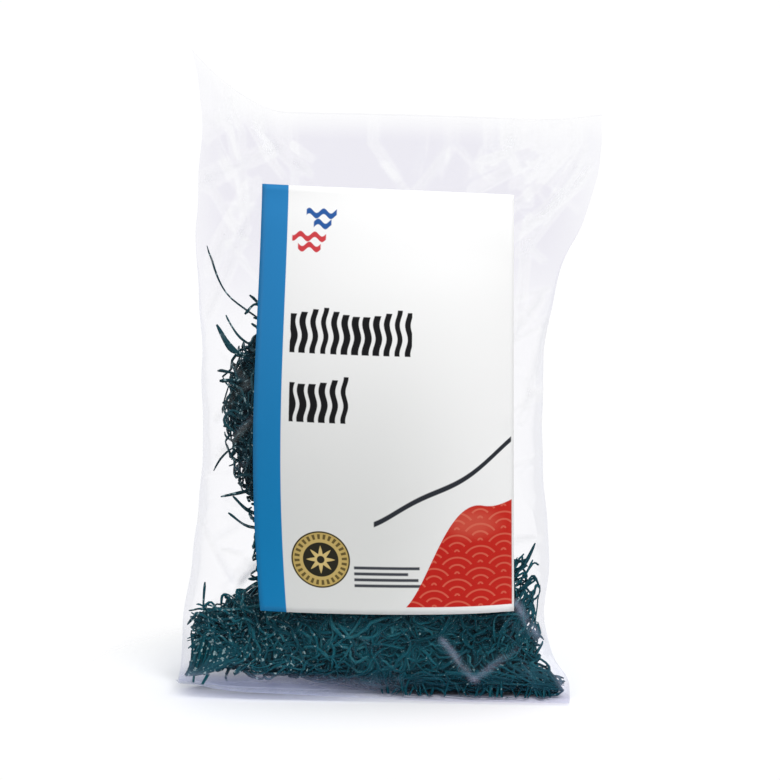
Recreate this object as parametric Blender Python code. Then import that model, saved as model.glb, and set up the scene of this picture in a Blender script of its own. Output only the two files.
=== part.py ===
"""A clear film packet of dried shredded seaweed, standing on its own folded base.

Lengths in the tables are millimetres; the model is in metres. +Z is up, the label faces -Y, and the origin
is on the floor under the middle of the packet. The film is one tube closed by a flat seal at the top and one
that lies forward on the floor. The shreds are one tangle that has settled in the lower part.
"""

import math
import random

import bmesh
import bpy
import numpy as np
from mathutils import Matrix, Quaternion, Vector, noise
from mathutils.bvhtree import BVHTree

MM = 0.001
MIDDLE = Vector((6.0, -3.547, 0.0))  # the point of the tables that the model's origin stands on

# Film tube
FILM = 0.6
SEAL_HEIGHT = 11.0
COLUMNS = 52
ROWS = 30
FLOOR_ROUNDING = 0.7  # how much the rows crowd towards both seals, from 0 to 1
PRESSED_FLAT, PRESSED_BELOW = 2.4, 7.0  # what hangs this low lies flat on the floor, and what is pulled down to it
VENT_RADIUS = 1.0  # pin hole that lets the air out when packets are stacked
VENT_PLACE = (24.0, 196.0)
TOP_SLOPE = 0.024  # the upper seal runs down towards the right
LEFT_EAR_RISE = 23.5
LEFT_EAR_WIDTH = 34.0
RIGHT_EAR_RISE = 3.0
RIGHT_EAR_WIDTH = 30.0
EARS_START = 0.72
SEAL_WAVE = 2.6

# Share of the way up, left side x, right side x, front y and z, back y and z
RAILS = (
    (0.00, -77.0, 77.5, -24.0, 1.2, -24.0, 0.0),
    (0.05, -76.5, 75.0, -27.0, 11.0, -5.0, 0.0),
    (0.11, -75.5, 71.0, -28.0, 26.0, 14.0, 0.0),
    (0.17, -74.5, 69.0, -28.0, 41.0, 24.0, 12.0),
    (0.27, -72.0, 68.0, -27.5, 62.0, 27.0, 42.0),
    (0.42, -68.5, 67.0, -26.0, 96.0, 26.0, 85.0),
    (0.57, -68.0, 67.5, -22.5, 130.0, 22.5, 124.0),
    (0.72, -70.0, 70.5, -16.5, 162.0, 16.5, 160.0),
    (0.79, -71.0, 75.5, -12.5, 177.0, 12.5, 176.0),
    (0.84, -71.0, 83.5, -9.5, 188.0, 9.5, 187.0),
    (0.92, -70.5, 87.5, -4.5, 204.0, 4.5, 204.0),
    (1.00, -70.0, 89.0, -0.6, 220.0, 0.6, 220.0),
)
FLAT_WIDTH = 159.0

# Share of the way up, then how flat the faces are and how blunt the sides are
SECTIONS = (
    (0.00, 8.0, 0.15),
    (0.05, 2.8, 0.60),
    (0.17, 2.6, 0.56),
    (0.42, 2.6, 0.55),
    (0.72, 2.3, 0.66),
    (0.84, 2.2, 0.75),
    (0.92, 2.2, 0.85),
    (1.00, 8.0, 0.15),
)

# Folds pressed into the film: foot x and z, tip x and z, half width, height
FRONT_FOLDS = (
    (57.5, 112.0, 67.0, 150.0, 4.5, 2.2),
    (57.0, 204.0, 86.0, 229.0, 5.0, 2.2),
    (46.0, 213.0, 70.0, 231.0, 4.0, 1.6),
    (60.0, 178.0, 85.0, 210.0, 5.5, 2.6),
    (58.5, 150.0, 62.0, 190.0, 4.0, -1.6),
    (-68.0, 238.0, -44.0, 214.0, 5.0, 2.0),
    (-68.0, 203.0, -49.0, 226.0, 5.0, 1.8),
    (-68.0, 170.0, -50.0, 200.0, 6.0, -1.6),
    (-72.0, 58.0, -52.0, 34.0, 5.5, 1.4),
    (28.0, 25.0, 46.0, 3.0, 4.5, 2.2),
    (48.0, 3.0, 66.0, 28.0, 4.5, 2.2),
    (58.0, 30.0, 76.0, 3.0, 4.5, 1.8),
)
BACK_FOLDS = (
    (-66.0, 236.0, -30.0, 206.0, 5.5, 2.4),
    (-68.0, 190.0, -40.0, 214.0, 5.0, 1.8),
    (-66.0, 150.0, -52.0, 182.0, 5.0, -1.8),
    (84.0, 226.0, 40.0, 200.0, 5.5, 2.4),
    (82.0, 204.0, 52.0, 178.0, 5.5, 2.0),
    (66.0, 156.0, 48.0, 128.0, 5.0, 1.8),
    (-70.0, 20.0, -46.0, 46.0, 5.5, 2.2),
    (66.0, 18.0, 44.0, 44.0, 5.5, 2.2),
    (-30.0, 16.0, -8.0, 34.0, 5.0, 1.4),
    (34.0, 12.0, 12.0, 32.0, 5.0, 1.4),
)

# Label stuck to the front
LABEL_LEFT, LABEL_RIGHT = -45.0, 55.0
LABEL_BOTTOM, LABEL_TOP = 34.5, 202.5
LABEL_PAPER = 0.6
LABEL_GAP = 0.7
LABEL_COLUMNS, LABEL_ROWS = 12, 18

# Settled body of the tangle: height, left and right x, share of the packet's depth
TANGLE = (
    (2.0, -66.0, 68.0, 0.86),
    (8.0, -71.0, 70.0, 0.92),
    (18.0, -71.0, 65.0, 0.92),
    (30.0, -66.0, 61.0, 0.90),
    (46.0, -57.0, 56.0, 0.86),
    (74.0, -54.0, 50.0, 0.82),
    (102.0, -57.0, 42.0, 0.78),
    (124.0, -55.0, 28.0, 0.66),
    (142.0, -44.0, 8.0, 0.46),
    (153.0, -34.0, -8.0, 0.22),
)
TANGLE_COLUMNS, TANGLE_ROWS = 22, 13
TANGLE_LUMPS = 3.2
TANGLE_LUMP_SIZE = 17.0
TANGLE_SEED = 4

# Shreds: width, thickness, steps along one, how deep their ends are sunk and how far they stand out
SHRED_WIDTH, SHRED_THICKNESS = 2.8, 1.9
SHRED_STEPS, LONG_STEPS = 5, 8
SHRED_SINK = 2.4
SHRED_RISE = 2.3
FILM_GAP, SHRED_GAP, BODY_GAP = 0.6, 1.4, 2.2  # left to the film by strip corners, strips and body
LYING_BEND, STANDING_BEND = 1.1, 1.5
FUSE_SOLVER = "MANIFOLD"

# Region of the tangle's surface, how many shreds, shortest and longest, and whether an end stands free
SHRED_GROUPS = (
    ("bed_front", 32, 34.0, 58.0, False),
    ("bed_back", 16, 34.0, 58.0, False),
    ("body_back", 28, 30.0, 56.0, False),
    ("body_front", 8, 30.0, 50.0, False),
    ("left_side", 26, 16.0, 34.0, True),
    ("right_side", 12, 14.0, 28.0, True),
    ("crown", 16, 18.0, 40.0, True),
    ("bed_front", 6, 12.0, 22.0, True),
)

# Long shreds beside the label: share of the way along, then the point
LONG_SHREDS = (
    ((0.0, -40.0, -4.0, 106.0), (0.4, -57.0, -9.0, 134.0), (0.75, -66.0, -8.0, 160.0), (1.0, -67.0, -6.0, 180.0)),
    ((0.0, -38.0, 2.0, 118.0), (0.4, -52.0, 4.0, 146.0), (0.75, -57.0, 3.0, 162.0), (1.0, -64.0, 2.0, 171.0)),
    ((0.0, -39.0, -4.0, 122.0), (0.5, -56.0, -11.0, 139.0), (1.0, -67.0, -8.0, 147.0)),
    ((0.0, -42.0, -4.0, 100.0), (0.4, -58.0, -13.0, 104.0), (0.7, -62.0, -13.0, 112.0), (1.0, -56.0, -13.0, 119.0)),
    ((0.0, -42.0, -4.0, 94.0), (0.5, -59.0, -12.0, 95.0), (1.0, -66.0, -10.0, 84.0)),
    ((0.0, -50.0, -8.0, 30.0), (0.6, -68.0, -14.0, 36.0), (1.0, -70.0, -12.0, 46.0)),
    ((0.0, 41.0, -4.0, 42.0), (0.5, 58.0, -13.0, 50.0), (1.0, 65.0, -10.0, 60.0)),
    ((0.0, 42.0, -5.0, 32.0), (0.5, 59.0, -13.0, 42.0), (1.0, 65.0, -11.0, 50.0)),
)


def clear_scene():
    for thing in list(bpy.data.objects):
        bpy.data.objects.remove(thing)


def make_material(name, colour, roughness, alpha=1.0):
    material = bpy.data.materials.new(name)
    material.use_nodes = True
    shader = material.node_tree.nodes["Principled BSDF"]
    shader.inputs["Base Color"].default_value = (*colour, 1.0)
    shader.inputs["Roughness"].default_value = roughness
    shader.inputs["Metallic"].default_value = 0.0
    shader.inputs["Alpha"].default_value = alpha
    return material


def add_object(name, shape, material, smooth_angle=math.radians(40)):
    """Turns a bmesh in the tables' millimetres into an object in metres."""
    bmesh.ops.translate(shape, vec=-MIDDLE, verts=shape.verts)
    bmesh.ops.scale(shape, vec=(MM, MM, MM), verts=shape.verts)
    mesh = bpy.data.meshes.new(name)
    shape.to_mesh(mesh)
    shape.free()
    mesh.shade_smooth()
    mesh.set_sharp_from_angle(angle=smooth_angle)
    mesh.materials.append(material)
    placed = bpy.data.objects.new(name, mesh)
    bpy.context.scene.collection.objects.link(placed)
    return placed


def along(stations, share):
    """A smooth row of values at a share of the way through the stations."""
    table = np.array(stations)
    keys, values = table[:, 0], table[:, 1:]
    slopes = np.gradient(values, keys, axis=0)
    i = int(np.clip(np.searchsorted(keys, share) - 1, 0, len(keys) - 2))
    span = keys[i + 1] - keys[i]
    f = (share - keys[i]) / span
    return (
        (1 + 2 * f) * (1 - f) ** 2 * values[i]
        + f * (1 - f) ** 2 * span * slopes[i]
        + f * f * (3 - 2 * f) * values[i + 1]
        + f * f * (f - 1) * span * slopes[i + 1]
    )


def eased(value):
    value = min(max(value, 0.0), 1.0)
    return value * value * (3 - 2 * value)


def ear_rise(x, share):
    """How far the two ends of the top seal stand above its middle."""
    high = eased((share - EARS_START) / (1 - EARS_START))
    left = max(0.0, (-x - 70.0 + LEFT_EAR_WIDTH) / LEFT_EAR_WIDTH) ** 1.7
    right = max(0.0, (x - 89.0 + RIGHT_EAR_WIDTH) / RIGHT_EAR_WIDTH) ** 2
    return high * (LEFT_EAR_RISE * left + RIGHT_EAR_RISE * right - TOP_SLOPE * x)


def fold_height(x, z, folds):
    """Height of the folds at a place: each is a straight ridge that fades at both ends."""
    total = 0.0
    for x0, z0, x1, z1, half_width, height in folds:
        reach = (x1 - x0) ** 2 + (z1 - z0) ** 2
        t = ((x - x0) * (x1 - x0) + (z - z0) * (z1 - z0)) / reach
        inside = min(max(t, 0.0), 1.0)
        away = math.hypot(x - x0 - inside * (x1 - x0), z - z0 - inside * (z1 - z0))
        total += height * max(0.0, 1 - away / half_width)
    return total


def film_ring(share, inset):
    """One ring of the film round the packet, from its right side past the front. inset is the wall so far."""
    left, right, front_y, front_z, back_y, back_z = along(RAILS, share)
    flatness, bluntness = along(SECTIONS, share)
    middle = Vector((0.0, (front_y + back_y) / 2, (front_z + back_z) / 2))
    depth = Vector((0.0, (front_y - back_y) / 2, (front_z - back_z) / 2))
    outward = depth.normalized()
    depth -= outward * inset
    half = (right - left) / 2 - 2 * inset
    centre = (right + left) / 2
    ring = []
    for k in range(COLUMNS):
        angle = 2 * math.pi * k / COLUMNS
        c, s = math.cos(angle), math.sin(angle)
        bulge = math.copysign(max(0.0, 1 - abs(c) ** flatness) ** bluntness, s) if abs(s) > 1e-9 else 0.0
        point = middle + depth * bulge
        point.x = centre + half * c
        push = fold_height(point.x, point.z, FRONT_FOLDS if s > 0 else BACK_FOLDS)
        room = min(1.0, depth.length / 6)
        point += outward * math.copysign(push * abs(bulge) * room, s)
        point.z += ear_rise(point.x, share)
        point.y += SEAL_WAVE * eased((share - 0.7) / 0.3) * math.sin(2 * math.pi * point.x / FLAT_WIDTH + 0.6)
        if s <= 0:
            pressed = PRESSED_BELOW * (point.z - PRESSED_FLAT) / (PRESSED_BELOW - PRESSED_FLAT)
            point.z = min(point.z, pressed)
        point.z = max(point.z, inset)
        ring.append(point)
    return ring


def row_share(row):
    """Rows of the film crowd towards both seals, where it bends most."""
    even = row / ROWS
    return even + FLOOR_ROUNDING * (0.5 - 0.5 * math.cos(math.pi * even) - even)


def skin(rings):
    """A closed surface through rings of points, its two ends closed by strips from front to back."""
    shape = bmesh.new()
    rows = [[shape.verts.new(point) for point in ring] for ring in rings]
    for low, high in zip(rows, rows[1:]):
        count = len(low)
        for k in range(count):
            after = (k + 1) % count
            shape.faces.new((low[k], low[after], high[after], high[k]))
    for row in (rows[0], rows[-1]):
        count = len(row)
        for k in range(count // 2):
            corners = (row[k], row[k + 1], row[count - k - 1], row[-k])
            shape.faces.new(list(dict.fromkeys(corners)))
    bmesh.ops.recalc_face_normals(shape, faces=shape.faces)
    return shape


def film_outside():
    """Rings from the front edge of the seal on the floor to the top edge of the upper seal."""
    rings = [film_ring(row_share(row), 0.0) for row in range(ROWS + 1)]
    floor_edge = [point + Vector((0, -SEAL_HEIGHT, 0)) for point in rings[0]]
    top_edge = [point + Vector((0, 0, SEAL_HEIGHT)) for point in rings[-1]]
    return [floor_edge] + rings + [top_edge]


def film_inside(extra=0.0):
    """Rings of the hollow, which ends a little short of both seals."""
    rings = []
    for row in range(1, ROWS):
        share = row_share(row)
        front_y, front_z, back_y, back_z = along(RAILS, share)[2:]
        if math.hypot(front_y - back_y, front_z - back_z) > 5 + 4 * extra:
            rings.append(film_ring(share, FILM + extra))
    return rings


def hide_cutter(cutter):
    cutter.hide_render = True
    cutter.display_type = "WIRE"


def cut(target, cutter):
    hide_cutter(cutter)
    step = target.modifiers.new("Cut " + cutter.name, "BOOLEAN")
    step.operation = "DIFFERENCE"
    step.object = cutter
    return step


def make_film(material):
    """The film tube, hollow, with the small vent in its back that opens the hollow to the air."""
    packet = add_object("film_packet", skin(film_outside()), material)
    hollow = add_object("film_hollow", skin(film_inside()), material)
    cut(packet, hollow)
    drill = bmesh.new()
    across = Matrix.Translation((VENT_PLACE[0], 12.0, VENT_PLACE[1])) @ Matrix.Rotation(math.pi / 2, 4, "X")
    bmesh.ops.create_cone(
        drill, cap_ends=True, segments=8, radius1=VENT_RADIUS, radius2=VENT_RADIUS, depth=14.0, matrix=across
    )
    cut(packet, add_object("vent_drill", drill, material))
    return packet


def surface_tree(shape):
    return BVHTree.FromBMesh(shape)


def make_label(material):
    """The label follows the film's front, a hair in front of it."""
    film = skin(film_outside())
    tree = surface_tree(film)
    film.free()
    shape = bmesh.new()
    sheets = []
    for lift in (LABEL_GAP, LABEL_GAP + LABEL_PAPER):
        rows = []
        for i in range(LABEL_ROWS + 1):
            z = LABEL_BOTTOM + (LABEL_TOP - LABEL_BOTTOM) * i / LABEL_ROWS
            row = []
            for k in range(LABEL_COLUMNS + 1):
                x = LABEL_LEFT + (LABEL_RIGHT - LABEL_LEFT) * k / LABEL_COLUMNS
                hit = tree.ray_cast(Vector((x, -90, z)), Vector((0, 1, 0)))[0]
                row.append(shape.verts.new((x, hit.y - lift, z)))
            rows.append(row)
        sheets.append(rows)
    for rows in sheets:
        for low, high in zip(rows, rows[1:]):
            for k in range(LABEL_COLUMNS):
                shape.faces.new((low[k], low[k + 1], high[k + 1], high[k]))
    rims = [[*r[0], *[row[-1] for row in r[1:]], *reversed(r[-1][:-1]), *[row[0] for row in reversed(r[1:-1])]]
            for r in sheets]
    count = len(rims[0])
    for k in range(count):
        after = (k + 1) % count
        shape.faces.new((rims[0][k], rims[0][after], rims[1][after], rims[1][k]))
    bmesh.ops.recalc_face_normals(shape, faces=shape.faces)
    return add_object("front_label", shape, material)


def packet_depth(z):
    """Front and back of the packet's inside at a height."""
    table = np.array(RAILS)
    front = np.interp(z, table[:, 4], table[:, 3])
    standing = table[2:]
    back = np.interp(z, standing[:, 6], standing[:, 5])
    return front + FILM, back - FILM


def tangle_body(film):
    """The settled mass of the shreds, a lumpy body a little smaller than the packet."""
    rings = []
    top = TANGLE[-1][0]
    keys = [(row[0] / top, *row) for row in TANGLE]
    for i in range(TANGLE_ROWS):
        z, left, right, share = along(keys, keys[0][0] + (1 - keys[0][0]) * i / (TANGLE_ROWS - 1))
        front, back = packet_depth(z)
        ring = []
        for k in range(TANGLE_COLUMNS):
            angle = 2 * math.pi * k / TANGLE_COLUMNS
            c, s = math.cos(angle), math.sin(angle)
            round_side = math.copysign((1 - abs(c) ** 2.4) ** 0.6, s) if abs(s) > 1e-9 else 0.0
            x = (left + right) / 2 + (right - left) / 2 * c
            y = (front + back) / 2 + (front - back) / 2 * share * round_side
            lump = 0.5 + 0.5 * noise.noise(Vector((x, y, z)) / TANGLE_LUMP_SIZE)
            outward = Vector((c, -round_side, 0)).normalized()
            point = Vector((x, y, z)) - outward * (TANGLE_LUMPS * lump * (0.25 if i == 0 else 1.0))
            ring.append(kept_inside(point, film, BODY_GAP))
        rings.append(ring)
    return skin(rings)


def in_group(group, point, normal):
    """Whether a place on the tangle's surface belongs to a group of shreds."""
    x, _, z = point
    low = z < 40
    return {
        "bed_front": low and normal.y < -0.35,
        "bed_back": low and normal.y > 0.35,
        "body_back": not low and normal.y > 0.35,
        "body_front": not low and normal.y < -0.35,
        "left_side": x < -38 and z > 6 and normal.x < -0.2,
        "right_side": x > 38 and z > 6 and normal.x > 0.2,
        "crown": z > 86 and normal.z > 0.15,
    }[group]


def places(faces, group, count, draw):
    """Random places on the faces that belong to a group, spread by area."""
    chosen = [f for f in faces if in_group(group, f.calc_center_median(), f.normal)]
    areas = [f.calc_area() for f in chosen]
    for face in draw.choices(chosen, weights=areas, k=count):
        a, b, c = (v.co for v in draw.sample(list(face.verts), 3))
        u, v = sorted((draw.random(), draw.random()))
        yield a * u + b * (v - u) + c * (1 - v), face.normal.copy()


def kept_inside(point, film, gap):
    """A point moved inwards until it is that far from the film."""
    near, normal, _, _ = film.find_nearest(point)
    depth = (near - point).dot(normal)
    return point if depth >= gap else near - normal * gap


def turned(vector, axis, angle):
    return Quaternion(axis, angle) @ vector


def lying_path(start, normal, length, body, draw):
    """A shred that lies on the body in a bend, with both ends sunk in it."""
    heading = turned(normal.orthogonal().normalized(), normal, draw.uniform(0, 2 * math.pi))
    bend = draw.uniform(-LYING_BEND, LYING_BEND)
    point, path = start, []
    for i in range(SHRED_STEPS + 1):
        near, up, _, _ = body.find_nearest(point)
        arch = math.sin(math.pi * i / SHRED_STEPS) ** 0.5
        path.append(near + up * ((SHRED_SINK + SHRED_RISE) * arch - SHRED_SINK))
        heading = turned((heading - up * heading.dot(up)).normalized(), up, bend / SHRED_STEPS)
        point = near + heading * (length / SHRED_STEPS)
    return path


def standing_path(start, normal, length, draw):
    """A shred that curls out of the body, with one end sunk in it."""
    aside = turned(normal.orthogonal().normalized(), normal, draw.uniform(0, 2 * math.pi))
    heading = (normal + aside * draw.uniform(0.2, 0.9) + Vector((0, 0, 0.25))).normalized()
    bend = draw.uniform(-STANDING_BEND, STANDING_BEND)
    point = start - normal * (1.5 * SHRED_SINK)
    path = [point]
    for _ in range(SHRED_STEPS):
        heading = turned(heading, aside.cross(normal), bend / SHRED_STEPS)
        point = point + heading * (length / SHRED_STEPS)
        path.append(point)
    return path


def add_shred(shape, path, up, width, film):
    """A three-sided strip along a path, broad across and thin through, and kept off the film."""
    thickness = SHRED_THICKNESS * width / SHRED_WIDTH
    rings = []
    for i, point in enumerate(path):
        ahead = (path[min(i + 1, len(path) - 1)] - path[max(i - 1, 0)]).normalized()
        across = ahead.cross(up).normalized()
        up = across.cross(ahead).normalized()
        taper = 0.62 if i in (0, len(path) - 1) else 1.0
        corners = (across * width / 2, up * thickness * 0.8, -across * width / 2)
        under = -up * thickness * 0.35
        ring = [kept_inside(point + (corner + under) * taper, film, FILM_GAP) for corner in corners]
        rings.append([shape.verts.new(corner) for corner in ring])
    for low, high in zip(rings, rings[1:]):
        for k in range(3):
            after = (k + 1) % 3
            shape.faces.new((low[k], low[after], high[after], high[k]))
    shape.faces.new(list(reversed(rings[0])))
    shape.faces.new(rings[-1])


def as_object(path, up, width, film, material):
    shape = bmesh.new()
    add_shred(shape, path, up, width, film)
    bmesh.ops.recalc_face_normals(shape, faces=shape.faces)
    return add_object("shred", shape, material)


def make_tangle(material):
    """The tangle: its body with every shred fused into it."""
    hollow = skin(film_inside())
    film = surface_tree(hollow)
    hollow.free()
    body = tangle_body(film)
    bmesh.ops.triangulate(body, faces=body.faces)
    tree = surface_tree(body)
    draw = random.Random(TANGLE_SEED)
    made = []
    for group, count, shortest, longest, standing in SHRED_GROUPS:
        for start, normal in places(body.faces, group, count, draw):
            length = draw.uniform(shortest, longest)
            if standing:
                path = standing_path(start, normal, length, draw)
            else:
                path = lying_path(start, normal, length, tree, draw)
            path = [kept_inside(point, film, SHRED_GAP) for point in path]
            made.append(as_object(path, normal, SHRED_WIDTH * draw.uniform(0.75, 1.1), film, material))
    for stations in LONG_SHREDS:
        path = [Vector(along(stations, i / LONG_STEPS)) for i in range(LONG_STEPS + 1)]
        path = [kept_inside(point, film, SHRED_GAP) for point in path]
        made.append(as_object(path, Vector((0.3, -1.0, 0.1)), SHRED_WIDTH * 0.8, film, material))
    shreds = bpy.data.collections.new("shreds")
    for shred in made:
        shreds.objects.link(shred)
    tangle = add_object("arame_tangle", body, material)
    union = tangle.modifiers.new("Fuse shreds", "BOOLEAN")
    union.operation = "UNION"
    union.operand_type = "COLLECTION"
    union.collection = shreds
    union.solver = FUSE_SOLVER
    graph = bpy.context.evaluated_depsgraph_get()
    fused = bpy.data.meshes.new_from_object(tangle.evaluated_get(graph))
    tangle.modifiers.clear()
    tangle.data = fused
    for shred in made:
        bpy.data.objects.remove(shred)
    bpy.data.collections.remove(shreds)
    return tangle


def main():
    clear_scene()
    film = make_material("clear_film", (0.86, 0.86, 0.90), 0.12, alpha=0.25)
    paper = make_material("label_paper", (0.86, 0.86, 0.85), 0.35)
    weed = make_material("dried_weed", (0.016, 0.055, 0.072), 0.55)
    make_film(film)
    make_label(paper)
    make_tangle(weed)


main()
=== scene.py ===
import math
import random

import bmesh
import bpy
import numpy as np
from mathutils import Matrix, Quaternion, Vector, noise
from mathutils.bvhtree import BVHTree


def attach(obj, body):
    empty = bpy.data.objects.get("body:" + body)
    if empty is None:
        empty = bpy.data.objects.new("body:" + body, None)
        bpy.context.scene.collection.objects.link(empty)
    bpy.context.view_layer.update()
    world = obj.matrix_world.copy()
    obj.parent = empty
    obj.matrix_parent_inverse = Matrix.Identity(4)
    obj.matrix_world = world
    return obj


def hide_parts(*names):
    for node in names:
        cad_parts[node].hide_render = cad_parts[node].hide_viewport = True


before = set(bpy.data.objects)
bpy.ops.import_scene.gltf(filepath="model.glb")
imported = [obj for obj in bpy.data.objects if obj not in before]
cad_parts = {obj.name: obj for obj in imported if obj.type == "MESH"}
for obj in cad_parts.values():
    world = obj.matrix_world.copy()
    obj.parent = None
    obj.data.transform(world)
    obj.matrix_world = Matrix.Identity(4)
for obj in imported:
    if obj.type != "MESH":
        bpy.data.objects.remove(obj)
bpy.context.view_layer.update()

mm = 0.001
middle = Vector((6.0, -3.547, 0.0))  # the tables' point that stands on the origin, as in the solids
stageScene = bpy.context.scene


# camera and lights

view = {
    "azimuth": 3.9,
    "elevation": 10.0,
    "distance": 1.735,
    "lens": 200.0,
    "target": (-0.0004, 0.0, 0.1205),
}
studio = {
    "frontGlow": 0.41,
    "backGlow": 0.85,
    "topGlow": 0.35,
    "frontToBack": (-0.5, 0.6),
    "levelToTop": (0.3, 1.0),
    "roomColour": (0.95, 0.965, 1.0),
    "groundColour": (1.0, 1.0, 1.0),
    "groundGlow": 1.02,
    "keyPower": 3.3,
    "keyPlace": (0.30, -0.44, 0.62),
    "keySize": 0.4,
    "fillPower": 1.6,
    "fillPlace": (-0.9, -0.5, 0.55),
    "fillSize": 0.8,
    "lightAim": (0, 0, 0.11),
    "floorColour": (0.97, 0.973, 0.98),
    "floorRoughness": 0.6,
    "floorRadius": 6.0,
    "floorDrop": 0.0004,
    "floorFade": (0.080, 0.155),
}


def aimAt(thing, place, target):
    thing.location = place
    thing.rotation_euler = (Vector(target) - Vector(place)).to_track_quat("-Z", "Y").to_euler()


def makeCamera():
    azimuth, elevation = math.radians(view["azimuth"]), math.radians(view["elevation"])
    back = Vector((
        math.sin(azimuth) * math.cos(elevation),
        -math.cos(azimuth) * math.cos(elevation),
        math.sin(elevation),
    ))
    lens = bpy.data.cameras.new("photoCamera")
    lens.lens = view["lens"]
    camera = bpy.data.objects.new("photoCamera", lens)
    stageScene.collection.objects.link(camera)
    aimAt(camera, Vector(view["target"]) + back * view["distance"], view["target"])
    stageScene.camera = camera


def softLight(name, place, power, size):
    lamp = bpy.data.lights.new(name, "AREA")
    lamp.shape, lamp.size, lamp.energy = "DISK", size, power
    light = bpy.data.objects.new(name, lamp)
    stageScene.collection.objects.link(light)
    aimAt(light, place, studio["lightAim"])


def makeRoom():
    # bright behind the packet and dimmer in front, with a plain white ground where the camera looks past it
    world = bpy.data.worlds.new("paleRoom")
    world.use_nodes = True
    w = Wire(world.node_tree)
    _, deep, high = parted(w, w.add("ShaderNodeTexCoord", output=0))
    front, back, top = studio["frontGlow"], studio["backGlow"], studio["topGlow"]
    glow = deep.ease(*studio["frontToBack"]) * (back - front) + front + high.ease(*studio["levelToTop"]) * top
    seen = w.add("ShaderNodeLightPath")  # Is Camera Ray
    background = world.node_tree.nodes["Background"]
    feed(background, "Color", seen.blend(studio["roomColour"], studio["groundColour"]))
    feed(background, "Strength", glow * (1 - seen) + seen * studio["groundGlow"])
    stageScene.world = world
    stageScene.view_settings.view_transform = "Standard"


def makeFloor():
    # shows the shadow under the packet and fades out round it
    shape = bmesh.new()
    bmesh.ops.create_circle(shape, cap_ends=True, segments=96, radius=studio["floorRadius"])
    mesh = bpy.data.meshes.new("floor")
    shape.to_mesh(mesh)
    shape.free()
    floor = bpy.data.objects.new("floor", mesh)
    floor.location.z = -studio["floorDrop"]
    stageScene.collection.objects.link(floor)
    paint, shader, w = newFinish("paleFloor")
    shader.inputs["Base Color"].default_value = (*studio["floorColour"], 1)
    shader.inputs["Roughness"].default_value = studio["floorRoughness"]
    across, deep, _ = parted(w, w.add("ShaderNodeTexCoord", output=3))  # Object
    feed(shader, "Alpha", 1 - (across * across + deep * deep).maths("SQRT").ease(*studio["floorFade"]))
    mesh.materials.append(paint)


def makeStudio():
    makeRoom()
    softLight("keyLight", studio["keyPlace"], studio["keyPower"], studio["keySize"])
    softLight("fillLight", studio["fillPlace"], studio["fillPower"], studio["fillSize"])
    makeFloor()


# shader maths

class Wire:  # one socket, so that an expression on it adds its Math nodes
    def __init__(self, tree, socket=None):
        self.tree, self.socket = tree, socket

    def add(self, kind, settings=None, sockets=None, output=0):
        node = self.tree.nodes.new(kind)
        for name, value in (settings or {}).items():
            setattr(node, name, value)
        for name, value in (sockets or {}).items():
            if isinstance(value, Wire):
                self.tree.links.new(value.socket, node.inputs[name])
            else:
                node.inputs[name].default_value = value
        return Wire(self.tree, node.outputs[output])

    def maths(self, operation, other=None, clamp=False):
        sockets = {0: self} if other is None else {0: self, 1: other}
        return self.add("ShaderNodeMath", {"operation": operation, "use_clamp": clamp}, sockets)

    def reflected(self, operation, other):
        return self.add("ShaderNodeMath", {"operation": operation}, {0: other, 1: self})

    def __add__(self, other):
        return self.maths("ADD", other)

    def __sub__(self, other):
        return self.maths("SUBTRACT", other)

    def __mul__(self, other):
        return self.maths("MULTIPLY", other)

    def __truediv__(self, other):
        return self.maths("DIVIDE", other)

    def __pow__(self, other):
        return self.maths("POWER", other)

    def __mod__(self, other):
        return self.maths("FLOORED_MODULO", other)

    def __rsub__(self, other):
        return self.reflected("SUBTRACT", other)

    def __rtruediv__(self, other):
        return self.reflected("DIVIDE", other)

    __radd__, __rmul__ = __add__, __mul__

    def above(self, edge, soft=0.25):  # 0 below the edge, 1 above it
        return ((self - edge) / soft).maths("ADD", 0.5, clamp=True)

    def ease(self, low, high):
        return self.add("ShaderNodeMapRange", {"interpolation_type": "SMOOTHSTEP"},
                        {"Value": self, "From Min": low, "From Max": high})

    def between(self, low, high, soft=0.25):
        return self.above(low, soft) * (1 - self.above(high, soft))

    def blend(self, low, high):  # the colour low where this is 0, and high where it is 1
        low, high = ((*c, 1) if isinstance(c, tuple) else c for c in (low, high))
        return self.add("ShaderNodeMix", {"data_type": "RGBA"}, {0: self, 6: low, 7: high}, output=2)


def newFinish(name):
    material = bpy.data.materials.new(name)
    material.use_nodes = True
    tree = material.node_tree
    return material, tree.nodes["Principled BSDF"], Wire(tree)


def feed(shader, name, value):
    value.tree.links.new(value.socket, shader.inputs[name])


def parted(wire, vector):
    split = wire.add("ShaderNodeSeparateXYZ", None, {0: vector}).socket.node
    return [Wire(wire.tree, split.outputs[i]) for i in range(3)]


# helpers for shapes

def between(stations, share):  # a smooth row of values through the stations, as the solids have it
    table = np.array(stations)
    keys, values = table[:, 0], table[:, 1:]
    slopes = np.gradient(values, keys, axis=0)
    i = int(np.clip(np.searchsorted(keys, share) - 1, 0, len(keys) - 2))
    span = keys[i + 1] - keys[i]
    f = (share - keys[i]) / span
    return ((1 + 2 * f) * (1 - f) ** 2 * values[i] + f * (1 - f) ** 2 * span * slopes[i]
            + f * f * (3 - 2 * f) * values[i + 1] + f * f * (f - 1) * span * slopes[i + 1])


def eased(value):
    value = min(max(value, 0.0), 1.0)
    return value * value * (3 - 2 * value)


def faceOutwards(shape):
    bmesh.ops.recalc_face_normals(shape, faces=shape.faces)
    if shape.calc_volume(signed=True) < 0:
        bmesh.ops.reverse_faces(shape, faces=shape.faces)


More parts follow.
